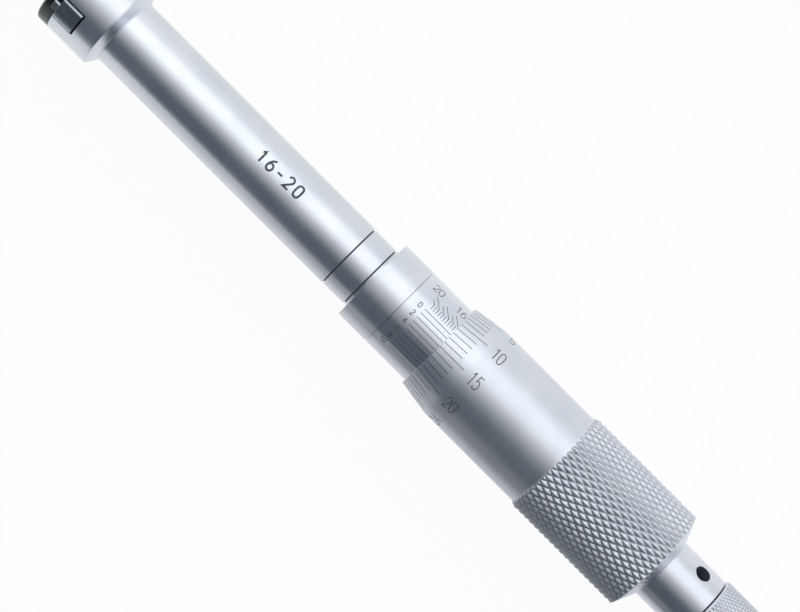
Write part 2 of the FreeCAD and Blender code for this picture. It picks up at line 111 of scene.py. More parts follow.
def prism(outline, stations):
    # A closed outline of (y, z) carried along X. Each station is (x, inset), and the outline is drawn in by its
    # inset there; flat ends close it.
    following = np.roll(outline, -1, 0) - outline
    following /= np.linalg.norm(following, axis=1)[:, None]
    leading = np.roll(following, 1, 0)
    inward = np.stack([-following[:, 1], following[:, 0]], 1) + np.stack([-leading[:, 1], leading[:, 0]], 1)
    inward /= 1 + (following * leading).sum(1)[:, None]
    rings = [np.hstack([np.full((len(outline), 1), x), outline + inset * inward]) for x, inset in stations]
    columns = len(outline)
    faces = gridFaces(len(stations), columns, False).tolist()
    faces += [list(range(columns)), list(range((len(stations) - 1) * columns, len(stations) * columns))]
    return np.vstack(rings), faces


def softEnds(xFrom, xTo, edge, hold=0.02):
    # stations of a prism whose two end edges are rounded over
    turn = np.linspace(0, math.pi / 2, 4)
    start = [(xFrom, edge + hold)]
    start += [(xFrom + edge - edge * math.sin(a), edge - edge * math.cos(a)) for a in turn[::-1]]
    start.append((xFrom + edge + hold, 0))
    return start + [(xFrom + xTo - x, inset) for x, inset in start[::-1]]


def turnedTo(points, angle):
    # points swung about the X axis by an angle in degrees, from +Z towards -Y
    a = math.radians(angle)
    swing = np.array([[1, 0, 0], [0, math.cos(a), -math.sin(a)], [0, math.sin(a), math.cos(a)]])
    return points @ swing.T


def joined(parts):
    # several (points, faces) pairs as one
    points, faces, start = [], [], 0
    for partPoints, partFaces in parts:
        points.append(partPoints)
        rows = partFaces.tolist() if isinstance(partFaces, np.ndarray) else partFaces
        faces += [[start + corner for corner in face] for face in rows]
        start += len(partPoints)
    return np.vstack(points), faces


def makeMesh(name, points, faces, recalculate=False, sharpAngle=28, depth=None):
    # millimetres become metres, doubled points at poles are merged, and edges over the sharp angle stay crisp
    mesh = bpy.data.meshes.new(name)
    mesh.from_pydata((points * millimetre).tolist(), [], faces if isinstance(faces, list) else faces.tolist())
    if depth is not None:
        layer = mesh.attributes.new("grooveDepth", "FLOAT", "POINT")
        layer.data.foreach_set("value", depth.astype(np.float32).ravel())
    work = bmesh.new()
    work.from_mesh(mesh)
    bmesh.ops.remove_doubles(work, verts=work.verts, dist=1e-7)
    if recalculate:
        bmesh.ops.recalc_face_normals(work, faces=work.faces)
    work.to_mesh(mesh)
    work.free()
    markSharp(mesh, sharpAngle)
    return mesh


def markSharp(mesh, sharpAngle):
    work = bmesh.new()
    work.from_mesh(mesh)
    limit = math.radians(sharpAngle)
    for edge in work.edges:
        edge.smooth = len(edge.link_faces) == 2 and edge.calc_face_angle() < limit
    for face in work.faces:
        face.smooth = True
    work.to_mesh(mesh)
    work.free()


def cutOut(mesh, cutters):
    # what is left of a mesh when closed shapes are taken out of it, one after the other
    solid = bpy.data.objects.new("solid", mesh)
    bpy.context.scene.collection.objects.link(solid)
    tools = []
    for index, (points, faces) in enumerate(cutters):
        tool = bpy.data.objects.new(f"tool_{index}", makeMesh(f"tool_{index}", points, faces, recalculate=True))
        bpy.context.scene.collection.objects.link(tool)
        cut = solid.modifiers.new(f"cut_{index}", "BOOLEAN")
        cut.operation = "DIFFERENCE"
        cut.solver = "EXACT"
        cut.object = tool
        tools.append(tool)
    view = bpy.context.evaluated_depsgraph_get()
    result = bpy.data.meshes.new_from_object(solid.evaluated_get(view))
    for helper in [solid, *tools]:
        bpy.data.objects.remove(helper)
    markSharp(result, 28)
    return result


def addPiece(name, mesh, material, body, slot, *nodes):
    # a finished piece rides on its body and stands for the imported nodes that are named
    piece = bpy.data.objects.new(name, mesh)
    bpy.context.scene.collection.objects.link(piece)
    mesh.materials.clear()
    mesh.materials.append(material)
    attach(piece, body)
    if nodes:
        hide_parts(*nodes)
    print("made", name, "with", len(mesh.polygons), "faces")


# Materials

def linearColor(hexText):
    # sRGB hex to the linear values that a shader takes
    parts = np.array([int(hexText[place:place + 2], 16) for place in (1, 3, 5)]) / 255
    linear = np.where(parts <= 0.04045, parts / 12.92, ((parts + 0.055) / 1.055) ** 2.4)
    return (*linear.tolist(), 1.0)


def addNode(tree, kind, settings=None, inputs=None):
    # one node with its settings and sockets; a socket takes a value, or a (node, output) pair as a link
    node = tree.nodes.new(kind)
    for key, value in (settings or {}).items():
        setattr(node, key, value)
    for key, value in (inputs or {}).items():
        if isinstance(value, tuple) and isinstance(value[0], bpy.types.Node):
            tree.links.new(value[0].outputs[value[1]], node.inputs[key])
        else:
            node.inputs[key].default_value = value
    return node


def newMaterial(name):
    material = bpy.data.materials.new(name)
    material.use_nodes = True
    tree = material.node_tree
    tree.nodes.clear()
    shader = addNode(tree, "ShaderNodeBsdfPrincipled")
    addNode(tree, "ShaderNodeOutputMaterial", inputs={"Surface": (shader, "BSDF")})
    return material, tree, shader


def mapRange(tree, source, fromMin, fromMax, toMin=0.0, toMax=1.0, course="LINEAR"):
    # one range of values carried onto another
    node = addNode(tree, "ShaderNodeMapRange", {"interpolation_type": course},
                   {"Value": source, "From Min": fromMin, "From Max": fromMax, "To Min": toMin, "To Max": toMax})
    return node, "Result"


def tintBetween(tree, pattern, low, high, first, second):
    # a colour that runs from the first to the second while the pattern goes from low to high
    tint = addNode(tree, "ShaderNodeValToRGB", inputs={"Fac": (pattern, "Fac")})
    for element, position, color in zip(tint.color_ramp.elements, (low, high), (first, second)):
        element.position = position
        element.color = linearColor(color)
    return tint, "Color"


def metal(name, look):
    # Metal with the marks of its making. Fine tool lines run round the X axis, lineSpacing apart: noise that is
    # short along X and long the other two ways. A slow cloud varies the tint and the polish. Where a piece has the
    # attribute grooveDepth, its grooves are dulled and tinted darker: painted shade in the hollows of the knurl.
    material, tree, shader = newMaterial(name)
    place = addNode(tree, "ShaderNodeTexCoord")
    line = 1 / (look["lineSpacing"] * millimetre)
    run = 1 / (look["lineLength"] * millimetre)
    stretch = addNode(tree, "ShaderNodeMapping", inputs={"Vector": (place, "Object"), "Scale": (line, run, run)})
    lines = addNode(tree, "ShaderNodeTexNoise", inputs={"Vector": (stretch, "Vector"), "Scale": 1.0, "Detail": 3.0})
    cloud = addNode(tree, "ShaderNodeTexNoise", inputs={"Vector": (place, "Object"), "Detail": 4.0,
                                                        "Scale": 1 / (look["cloudSize"] * millimetre)})
    both = addNode(tree, "ShaderNodeMath", {"operation": "ADD"}, {0: (lines, "Fac"), 1: (cloud, "Fac")})
    low, high = look["roughness"]
    color = tintBetween(tree, cloud, 0.35, 0.65, look["shade"], look["color"])
    roughness = mapRange(tree, (both, "Value"), 0.75, 1.25, low, high)
    if look.get("paintedGrooveShade"):
        depth = addNode(tree, "ShaderNodeAttribute", {"attribute_name": "grooveDepth"})
        # painted shade: the deep part of each knurl groove is tinted towards a darker colour
        grooveShadeShare = mapRange(tree, (depth, "Fac"), 0.55, 1.0, toMax=look["paintedGrooveShade"])
        shadedGroove = addNode(tree, "ShaderNodeMix", {"data_type": "RGBA"},
                       {0: grooveShadeShare, 6: color, 7: linearColor(look["paintedGrooveShadeColor"])})
        flank = mapRange(tree, (depth, "Fac"), 0.05, 0.5, toMax=look["flankDull"])
        dull = addNode(tree, "ShaderNodeMath", {"operation": "ADD"}, {0: flank, 1: roughness})
        color, roughness = (shadedGroove, 2), (dull, "Value")
    bump = addNode(tree, "ShaderNodeBump", inputs={"Strength": 1.0, "Distance": look["lineHeight"] * millimetre,
                                                   "Height": (lines, "Fac")})
    shader.inputs["Metallic"].default_value = 1.0
    for socket, source in (("Base Color", color), ("Roughness", roughness), ("Normal", (bump, "Normal"))):
        tree.links.new(source[0].outputs[source[1]], shader.inputs[socket])
    return material


# Hard chrome over turned steel: bright, faintly blue, finely lined round the tool's axis
chrome = {"color": "#d8dde5", "shade": "#d0d6df", "lineSpacing": 0.12, "lineLength": 9.0, "lineHeight": 0.00016,
          "cloudSize": 6.0, "roughness": (0.262, 0.284)}
brightChrome = metal("bright_chrome_on_turned_steel", chrome)
# The same plate over a blasted surface: a satin that hides glare from the scales
satinChrome = metal("satin_chrome_on_turned_steel", {**chrome, "roughness": (0.235, 0.255)})
# Ground before plating, the sleeve is the smoothest of them: its reflections have the firmest edges
sleeveChrome = metal("satin_chrome_on_ground_steel", {**chrome, "roughness": (0.15, 0.17), "lineHeight": 0.0001})
# Knurled grips: the darker tint deep in the grooves is painted shade, and the flanks are rougher
knurlChrome = metal("satin_chrome_on_knurled_steel", {**chrome, "roughness": (0.35, 0.37), "lineHeight": 0.00008,
                                                      "paintedGrooveShade": 0.55, "paintedGrooveShadeColor": "#5c686f", "flankDull": 0.12})
# Steel blued in hot salts and rubbed with oil: near black, with a soft shine
burnished = metal("oil_blued_steel", {"color": "#444b4c", "shade": "#363d3f", "lineSpacing": 0.14, "lineLength": 8.0,
                                      "lineHeight": 0.0007, "cloudSize": 3.0, "roughness": (0.22, 0.32)})
blackOxide = metal("black_oxide_screw_steel", {"color": "#3a3d40", "shade": "#2c2f32", "lineSpacing": 0.1,
                                               "lineLength": 2.0, "lineHeight": 0.0006, "cloudSize": 1.0,
                                               "roughness": (0.32, 0.42)})
# Hardened tool steel, surface ground: grey and finely scratched
hardened = metal("hardened_ground_steel", {"color": "#aab0b6", "shade": "#9aa1a8", "lineSpacing": 0.08,
                                           "lineLength": 2.5, "lineHeight": 0.0008, "cloudSize": 2.0,
                                           "roughness": (0.24, 0.34)})
# Tungsten carbide lapped with diamond: dark grey and almost a mirror
carbide = metal("lapped_tungsten_carbide", {"color": "#9da6ab", "shade": "#959ea4", "lineSpacing": 0.05,
                                            "lineLength": 0.6, "lineHeight": 0.0001, "cloudSize": 1.5,
                                            "roughness": (0.06, 0.10)})
ground = metal("cylindrically_ground_steel", {"color": "#bcc1c6", "shade": "#b0b6bc", "lineSpacing": 0.1,
                                              "lineLength": 6.0, "lineHeight": 0.0008, "cloudSize": 4.0,
                                              "roughness": (0.22, 0.32)})
springWire = metal("oil_tempered_spring_wire", {"color": "#6d747b", "shade": "#565d63", "lineSpacing": 0.3,
                                                "lineLength": 0.3, "lineHeight": 0.001, "cloudSize": 0.8,
                                                "roughness": (0.30, 0.45)})
bronze = metal("turned_tin_bronze", {"color": "#c79a5b", "shade": "#a97f47", "lineSpacing": 0.15, "lineLength": 6.0,
                                     "lineHeight": 0.001, "cloudSize": 2.0, "roughness": (0.28, 0.40)})


def enamel(name, look):
    # Baked enamel that fills an engraved line: matt, a little lighter where it is rubbed thin
    material, tree, shader = newMaterial(name)
    place = addNode(tree, "ShaderNodeTexCoord")
    rubbed = addNode(tree, "ShaderNodeTexNoise", inputs={"Vector": (place, "Object"), "Detail": 3.0,
                                                         "Scale": 1 / (look["patchSize"] * millimetre)})
    tint, output = tintBetween(tree, rubbed, 0.3, 0.7, look["color"], look["thin"])
    tree.links.new(tint.outputs[output], shader.inputs["Base Color"])
    shader.inputs["Roughness"].default_value = 0.5
    return material


blackEnamel = enamel("black_enamel_filling", {"color": "#333c42", "thin": "#566168", "patchSize": 0.8})
# Oil and dust darken the unplated steel inside a hole. On the bands in the grooves and the seam, the same dark is
# painted shade.
oilDarkAndGapShade = enamel("oil_darkened_bore_and_gap_shade", {"color": "#434e54", "thin": "#566167", "patchSize": 0.8})
print("materials made")


# Head: one bar turned, bored and slotted for the anvils
head = {"edge": 0.06, "shoulderEdge": 0.42, "shoulder": 7.76, "cone": 1.14, "tubeRadius": 5.7, "tubeEnd": 0.04,
        "noseBore": 3.4, "noseDepth": 3.5, "bore": 4.6, "slotWidth": 4.3, "slotLength": 4.1, "slotEdge": 0.09,
        "footRoom": 5.7, "footFrom": 3.7, "footTo": 6.5, "firstAngle": 36.2, "segments": 384}


def makeHead():
    front, rear, radius = nodeSpan("head_body")
    shoulder = front + head["shoulder"]
    edge = head["edge"]
    corners = [(front, head["noseBore"], edge), (front, radius, edge), (shoulder, radius, head["shoulderEdge"]),
               (shoulder + head["cone"], head["tubeRadius"], head["shoulderEdge"]),
               (rear, head["tubeRadius"], head["tubeEnd"]), (rear, head["bore"], edge),
               (front + head["noseDepth"], head["bore"], edge), (front + head["noseDepth"], head["noseBore"], edge)]
    points, faces = turnedSurface(roundedPath(corners), head["segments"])
    half, lip = head["slotWidth"] / 2, head["slotEdge"]
    flare = math.sqrt(radius ** 2 - half ** 2) - lip
    side = np.array([[half, 0], [half, flare], [half + 3 * lip, flare + 3 * lip], [half + 3 * lip, radius + 1]])
    slot = np.vstack([side, side[::-1] * [-1, 1]])
    room = np.array([[half, 0], [half, head["footRoom"]], [-half, head["footRoom"]], [-half, 0]])
    cutters = []
    for turn in (0, 120, 240):
        for outline, start, end in ((slot, -1, head["slotLength"]), (room, head["footFrom"], head["footTo"])):
            shape, shapeFaces = prism(outline, [(front + start, 0), (front + end, 0)])
            cutters.append((turnedTo(shape, head["firstAngle"] + turn), shapeFaces))
    return cutOut(makeMesh("head_body", points, faces), cutters)


addPiece("head_and_tube", makeHead(), brightChrome, "holder", "satin_chrome", "head_body")

# Cap: a dark disc on the head's front, notched for the anvils' lugs and drilled for three screws
cap = {"edge": 0.3, "edgeSoftness": 0.05, "hole": 1.6, "holeFloor": 0.9, "notchWidth": 2.0, "notchFrom": 1.25,
       "notchFloor": 4.2, "screwCircle": 5.2, "screwHole": 0.9, "screwSink": 1.56, "segments": 288}


def makeCap():
    front, rear, radius = nodeSpan("front_cap")
    soft = cap["edgeSoftness"]
    corners = [(front, 0, 0), (front, radius - cap["edge"], soft), (front + cap["edge"], radius, soft),
               (rear, radius, soft), (rear, cap["hole"], soft), (cap["holeFloor"], cap["hole"], soft),
               (cap["holeFloor"], 0, 0)]
    points, faces = turnedSurface(roundedPath(corners), cap["segments"])
    half = cap["notchWidth"] / 2
    notch = np.array([[half, cap["notchFloor"]], [half, radius + 1], [-half, radius + 1], [-half, cap["notchFloor"]]])
    sink = [(-1, 0, 0), (-1, cap["screwSink"] + 1, 0), (cap["screwSink"] - cap["screwHole"], cap["screwHole"], 0),
            (rear + 1, cap["screwHole"], 0), (rear + 1, 0, 0)]
    cutters = []
    for turn in (0, 120, 240):
        shape, shapeFaces = prism(notch, [(cap["notchFrom"], 0), (rear + 1, 0)])
        cutters.append((turnedTo(shape, head["firstAngle"] + turn), shapeFaces))
        shape, shapeFaces = turnedSurface(roundedPath(sink), 48)
        shape = turnedTo(shape + [0, 0, cap["screwCircle"]], head["firstAngle"] + 60 + turn)
        cutters.append((shape, shapeFaces))
    return cutOut(makeMesh("front_cap", points, faces), cutters)


addPiece("cap_disc", makeCap(), burnished, "holder", "burnished_steel", "front_cap")

# Cap screws: countersunk heads with hexagon sockets
screw = {"sink": 0.06, "headRadius": 1.5, "shankRadius": 0.8, "length": 5.2, "socket": 0.9, "socketDepth": 0.45,
         "edge": 0.06, "socketEdge": 0.02, "rim": 0.62, "wallRow": 0.52, "floorRow": 0.51, "segments": 72}


def makeCapScrews():
    # Rows of a turned surface whose socket rows follow a hexagon: at angle a from a corner the radius is the
    # half width over cos(a - 30 degrees), taken within each sixth of the turn.
    slope = screw["headRadius"] - screw["shankRadius"]
    top, floor, wall, soft = screw["sink"], screw["sink"] + screw["socketDepth"], screw["wallRow"], screw["socketEdge"]
    corners = [(top, screw["rim"], 0), (top, screw["headRadius"], screw["edge"]),
               (top + slope, screw["shankRadius"], 0), (screw["length"], screw["shankRadius"], 0),
               (screw["length"], 0, 0), (floor, 0, 0), (floor, screw["floorRow"], 0), (floor - soft, wall, 0),
               (top + soft, wall, 0)]
    path = roundedPath(corners)
    segments = screw["segments"]
    sixth = (np.arange(segments) * 2 * math.pi / segments) % (math.pi / 3)
    hexagon = screw["socket"] / 2 / np.cos(sixth - math.pi / 6)
    socketRows = np.isclose(path[:, 1:], wall) | np.isclose(path[:, 1:], screw["floorRow"])
    radii = np.where(socketRows, hexagon, path[:, 1:])
    shape, faces = turnedSurface(path, segments, radii)
    shape = shape + [0, 0, cap["screwCircle"]]
    angles = [head["firstAngle"] + 60 + turn for turn in (0, 120, 240)]
    points, faces = joined([(turnedTo(shape, angle), faces) for angle in angles])
    return makeMesh("cap_screws", points, faces)


addPiece("cap_screw_set", makeCapScrews(), blackOxide, "holder", "black_screw_steel", "cap_screws")

# Anvils: steel blades in the slots, each with a lug in the cap's notch and a carbide face
anvil = {"width": 4.1, "root": 0.6, "seat": 7.0, "footTop": 3.56, "footFrom": 6.0, "footEnd": 8.6, "edge": 0.05,
         "apex": 3.924, "coneSlope": 0.5, "coneGap": 0.03, "lowReach": 8.0, "lugWidth": 1.8, "lugFrom": 1.35,
         "lugBottom": 4.6, "lugDrop": 0.12, "lugChamfer": 0.25, "chamfer": 0.2, "tipOverhang": 0.12,
         "bottomClearance": 0.058}


def makeAnvil(number):
    front, _, reach = nodeSpan(f"carbide_tip_{number}")
    shift = reach - anvil["lowReach"]
    half, soft = anvil["width"] / 2, anvil["edge"]
    wedge = half / math.tan(math.pi / 3) + anvil["bottomClearance"]
    inner = (anvil["root"] - anvil["bottomClearance"]) * math.tan(math.pi / 3)
    parts = []
    for start, end, top in ((front, anvil["footFrom"] + 0.01, anvil["seat"]),
                            (anvil["footFrom"], anvil["footEnd"], anvil["footTop"])):
        corners = [(-half, top, soft), (-half, wedge, 0), (-inner, anvil["root"], 0), (inner, anvil["root"], 0),
                   (half, wedge, 0), (half, top, soft)]
        middle = (anvil["root"] - anvil["coneGap"]) / anvil["coneSlope"] + anvil["apex"]
        stations = softEnds(start, end, fineEdge)
        if start < middle < end:
            stations.insert(len(stations) // 2, (middle, 0))
        points, faces = prism(roundedPath(corners)[::-1], stations)
        # the inner side follows the cone that lifts it
        cone = anvil["coneSlope"] * (points[:, 0] - anvil["apex"]) + anvil["coneGap"]
        points[:, 2] = np.maximum(points[:, 2], cone)
        parts.append((points, faces))
    lugHalf, lugTop, bevel = anvil["lugWidth"] / 2, anvil["lowReach"] - anvil["lugDrop"], anvil["lugChamfer"]
    lug = [(-lugHalf, anvil["lugBottom"], fineEdge), (lugHalf, anvil["lugBottom"], fineEdge),
           (lugHalf, lugTop - bevel, fineEdge), (lugHalf - bevel, lugTop, fineEdge),
           (-lugHalf + bevel, lugTop, fineEdge), (-lugHalf, lugTop - bevel, fineEdge)]
    parts.append(prism(roundedPath(lug), softEnds(anvil["lugFrom"], front + 0.1, soft)))
    points, faces = joined(parts)
    points = turnedTo(points + [0, 0, shift], head["firstAngle"] + 120 * (number - 1))
    return makeMesh(f"anvil_{number}", points, faces, recalculate=True)


def makeCarbideTip(number):
    # the working face is a cylinder of the smallest bore's radius, between two bevels
    front, rear, reach = nodeSpan(f"carbide_tip_{number}")
    shift = reach - anvil["lowReach"]
    half, bevel, soft = anvil["width"] / 2, anvil["chamfer"], anvil["edge"]
    inset = half - bevel
    shoulder = math.sqrt(anvil["lowReach"] ** 2 - inset ** 2)
    sweep = np.linspace(1, -1, 11)[1:-1] * math.asin(inset / anvil["lowReach"])
    crown = [(anvil["lowReach"] * math.sin(a), anvil["lowReach"] * math.cos(a), 0) for a in sweep]
    corners = [(-half, anvil["seat"], 0.02), (half, anvil["seat"], 0.02), (half, shoulder - bevel, soft),
               (inset, shoulder, soft), *crown, (-inset, shoulder, soft), (-half, shoulder - bevel, soft)]
    points, faces = prism(roundedPath(corners), softEnds(front, rear + anvil["tipOverhang"], soft))
    points = turnedTo(points + [0, 0, shift], head["firstAngle"] + 120 * (number - 1))
    return makeMesh(f"carbide_tip_{number}", points, faces, recalculate=True)


for number in (1, 2, 3):
    body = f"anvil_{number}_group"
    addPiece(f"anvil_blade_{number}", makeAnvil(number), hardened, body, "hardened_steel", f"anvil_{number}")
    addPiece(f"carbide_face_{number}", makeCarbideTip(number), carbide, body, "lapped_carbide",
             f"carbide_tip_{number}")

# Plain rings: the joint ring, the barrel whose neck shows in a groove, the collar and the graduated sleeve
rings = {"edge": 0.04, "bore": 4.6, "sleeveBore": 6.2, "collarEdge": 0.05, "seam": 0.02, "seamGap": 0.07,
         "gapDepth": 0.3, "play": 0.01, "rodBore": 2.05, "chamberRadius": 3.6, "nutRadius": 4.4, "chamberFrom": 84.02,
         "nutFrom": 94.02, "neckLength": 0.4, "segments": 384}
seamHalf = rings["seamGap"] / 2


def ring(name, node, bore, edges, material, moved=(0, 0)):
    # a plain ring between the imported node's ends, either of which may be moved to leave a seam
    front, rear, radius = nodeSpan(node)
    front, rear = front + moved[0], rear + moved[1]
    corners = [(front, bore, fineEdge), (front, radius, edges[0]), (rear, radius, edges[1]), (rear, bore, fineEdge)]
    points, faces = turnedSurface(roundedPath(corners), rings["segments"])
    addPiece(name, makeMesh(node, points, faces), material, "holder", "satin_chrome", node)


ring("ring_between_grooves", "joint_ring", rings["bore"], (rings["edge"], rings["edge"]), satinChrome)
ring("plain_collar", "front_collar", rings["sleeveBore"], (rings["collarEdge"], rings["seam"]), satinChrome,
     (0, -seamHalf))
ring("scale_sleeve", "graduated_sleeve", rings["sleeveBore"], (rings["seam"], rings["seam"]), sleeveChrome,
     (seamHalf, 0))


def makeBarrel():
    front, rear, radius = nodeSpan("inner_barrel")
    collarFront = nodeSpan("front_collar")[0]
    neck = collarFront - rings["neckLength"]
    ringRadius = nodeSpan("joint_ring")[2]
    corners = [(front, rings["rodBore"], fineEdge), (front, rings["bore"], 0.1), (neck, rings["bore"], fineEdge),
               (neck, ringRadius, 0.02), (collarFront, ringRadius, 0.02), (collarFront, radius, fineEdge),
               (rear, radius, 0.1), (rear, rings["nutRadius"], fineEdge),
               (rings["nutFrom"], rings["nutRadius"], fineEdge),
               (rings["nutFrom"], rings["chamberRadius"], fineEdge),
               (rings["chamberFrom"], rings["chamberRadius"], fineEdge),
               (rings["chamberFrom"], rings["rodBore"], fineEdge)]
    points, faces = turnedSurface(roundedPath(corners), rings["segments"])
    return makeMesh("inner_barrel", points, faces)


addPiece("barrel", makeBarrel(), satinChrome, "holder", "ground_steel", "inner_barrel")


def makeGapLinings():
    # dark bands at the bottom of the two grooves and of the seam, which the plate doesn't reach: painted shade in the
    # gaps
    collarFront, seam, collarRadius = nodeSpan("front_collar")
    ringFront, ringRear, ringRadius = nodeSpan("joint_ring")
    gaps = [(nodeSpan("head_body")[1], ringFront, rings["bore"], ringRadius),
            (ringRear, collarFront - rings["neckLength"], rings["bore"], ringRadius),
            (seam - seamHalf, seam + seamHalf, rings["sleeveBore"], collarRadius)]
    bands = []
    for start, end, inner, outer in gaps:
        inner, outer = inner + rings["play"], outer - rings["gapDepth"]
        start, end = start + rings["play"], end - rings["play"]
        bands.append(turnedSurface(np.array([[start, inner], [start, outer], [end, outer], [end, inner]]),
                                   rings["segments"]))
    points, faces = joined(bands)
    return makeMesh("gap_shade_bands", points, faces)


# painted shade: dark bands where the grooves and the seam fall into shadow
addPiece("gap_shade_bands", makeGapLinings(), oilDarkAndGapShade, "holder", "black_screw_steel")

# Thimble: bevelled front, plain waist and knurled grip, in one piece
thimble = {"bore": 7.4, "lip": 7.8, "bevel": 5.5, "blend": 6.0, "waist": 8.7, "waistLength": 24.4, "crest": 9.2,
           "knurlCount": 48, "knurlPitch": 2.138, "knurlPeriods": 10, "rowsPerPitch": 10, "chamferRows": 3,
           "rearRadius": 5.6, "rearEdge": 0.12, "hub": 12.6, "recess": 5.3, "recessRadius": 4.5, "shaft": 3.7,
           "shaftRear": 3.0, "edge": 0.05, "crestFlat": 0.9, "knurlDepth": 0.38}


def diamonds(angle, x, count, pitch):
    # Height from 0 to 1 of a diamond knurl. Two families of V grooves cross: one where the sum of
    # count * angle / turn and x / pitch is whole, one where their difference is. The height is the distance to the
    # nearer groove.
    around, along = count * angle / (2 * math.pi), x / pitch
    rising = np.abs((around + along) - np.round(around + along))
    falling = np.abs((around - along) - np.round(around - along))
    return 2 * np.minimum(rising, falling)


def knurledSurface(path, zone, count, pitch, samples, valley, crestFlat):
    # A turned surface whose radius, between the two x of the zone on the outer side, is the lower of the turned
    # line and the knurl. Each face there is split along its level diagonal, so that no groove is bridged.
    columns = count * samples
    angles = np.arange(columns) * 2 * math.pi / columns
    xFrom, xTo, crest = zone
    height = np.minimum(diamonds(angles[None], path[:, :1] - xFrom, count, pitch), crestFlat) / crestFlat
    knurled = (path[:, :1] >= xFrom - 1e-6) & (path[:, :1] <= xTo + 1e-6) & (path[:, 1:] >= valley)
    cut = valley + (crest - valley) * height
    radii = np.where(knurled, np.minimum(path[:, 1:], cut), path[:, 1:] * np.ones(columns))
    depth = np.where(knurled, 1 - height, 0)
    points, faces = turnedSurface(path, columns, radii)
    depth = depth[::-1] if runsBackwards(path) else depth
    reach = np.hypot(points[:, 1], points[:, 2])
    uneven = (np.ptp(reach[faces], axis=1) > 1e-6) & (depth.ravel()[faces].max(axis=1) > 0)
    rough, plain = faces[uneven], faces[~uneven]
    level = np.abs(reach[rough[:, 0]] - reach[rough[:, 2]]) <= np.abs(reach[rough[:, 1]] - reach[rough[:, 3]])
    first = np.where(level[:, None], rough[:, [0, 1, 2]], rough[:, [0, 1, 3]])
    second = np.where(level[:, None], rough[:, [0, 2, 3]], rough[:, [1, 2, 3]])
    return points, plain.tolist() + first.tolist() + second.tolist(), depth


def thimbleOutline():
    front, rear, _ = nodeSpan("thimble")
    knurlFrom = front + thimble["waistLength"]
    step = thimble["knurlPitch"] / thimble["rowsPerPitch"]
    rows = knurlFrom + step * np.arange(thimble["knurlPeriods"] * thimble["rowsPerPitch"] + 2)
    knurlTo = rows[-2]
    chamferTo = rows[thimble["chamferRows"]]
    envelope = np.interp(rows, [knurlFrom, chamferTo, knurlTo, rear],
                         [thimble["waist"], thimble["crest"], thimble["crest"], thimble["rearRadius"]])
    soft = thimble["edge"]
    corners = [(front, thimble["bore"], soft), (front, thimble["lip"], soft),
               (front + thimble["bevel"], thimble["waist"], thimble["blend"]),
               (knurlFrom - 0.02, thimble["waist"], 0),
               *[(x, r, 0) for x, r in zip(rows, envelope)],
               (rear, thimble["rearRadius"], thimble["rearEdge"]), (rear, thimble["recessRadius"], soft),
               (rear - thimble["recess"], thimble["recessRadius"], soft),
               (rear - thimble["recess"], thimble["shaftRear"], soft),
               (rear - thimble["hub"], thimble["shaft"], soft), (rear - thimble["hub"], thimble["bore"], soft)]
    return roundedPath(corners), (knurlFrom, rows[-1], thimble["crest"])


def makeThimble():
    path, zone = thimbleOutline()
    points, faces, depth = knurledSurface(path, zone, thimble["knurlCount"], thimble["knurlPitch"],
                                          thimble["rowsPerPitch"], thimble["crest"] - thimble["knurlDepth"],
                                          thimble["crestFlat"])
    return makeMesh("thimble", points, faces, depth=depth, sharpAngle=80)


addPiece("knurled_thimble", makeThimble(), knurlChrome, "thimble_group", "satin_chrome", "thimble")

# Ratchet: a plain body with a spanner hole, and the knurled knob that slips on it
ratchet = {"edge": 0.1, "spigot": 4.4, "studRadius": 2.0, "studFloor": 6.9, "screwRadius": 1.25, "screwDepth": 5.1,
           "toothHeight": 0.5, "holeRadius": 1.3, "holeDepth": 2.7, "holeAt": 4.9, "holeAngle": -47.0,
           "holeEdge": 0.08, "segments": 320, "holeSegments": 64}


def intoHole(points):
    # points turned about the X axis, stood up along Z where the spanner hole is and swung to its angle
    upright = points[:, [2, 1, 0]] * [1, -1, 1] + [nodeSpan("thimble")[1] + ratchet["holeAt"], 0, 0]
    return turnedTo(upright, ratchet["holeAngle"])


def makeRatchetBody():
    front, rear, radius = nodeSpan("ratchet_body")
    faceX = nodeSpan("thimble")[1]
    rear -= ratchet["toothHeight"]
    corners = [(front, ratchet["studRadius"], fineEdge), (front, ratchet["spigot"], fineEdge),
               (faceX, ratchet["spigot"], 0), (faceX, radius, ratchet["edge"]), (rear, radius, ratchet["edge"]),
               (rear, ratchet["screwRadius"], fineEdge),
               (rear - ratchet["screwDepth"], ratchet["screwRadius"], 0), (rear - ratchet["screwDepth"], 0, 0),
               (front + ratchet["studFloor"], 0, 0), (front + ratchet["studFloor"], ratchet["studRadius"], 0)]
    points, faces = turnedSurface(roundedPath(corners), ratchet["segments"])
    # the spanner hole has a small countersink
    depth, soft = radius - ratchet["holeDepth"], ratchet["holeEdge"]
    hole = roundedPath([(depth, 0, 0), (depth, ratchet["holeRadius"], 0), (radius - soft, ratchet["holeRadius"], 0),
                        (radius + 1, ratchet["holeRadius"] + soft + 1, 0), (radius + 1, 0, 0)])
    drill, drillFaces = turnedSurface(hole, ratchet["holeSegments"])
    return cutOut(makeMesh("ratchet_body", points, faces), [(intoHole(drill), drillFaces)])


addPiece("ratchet_drum", makeRatchetBody(), satinChrome, "thimble_group", "satin_chrome", "ratchet_body")

# Hole lining: unplated, blackened steel, which the plate doesn't cover inside the hole
lining = {"wall": 0.06, "gap": 0.005, "top": 0.2, "edge": 0.01}


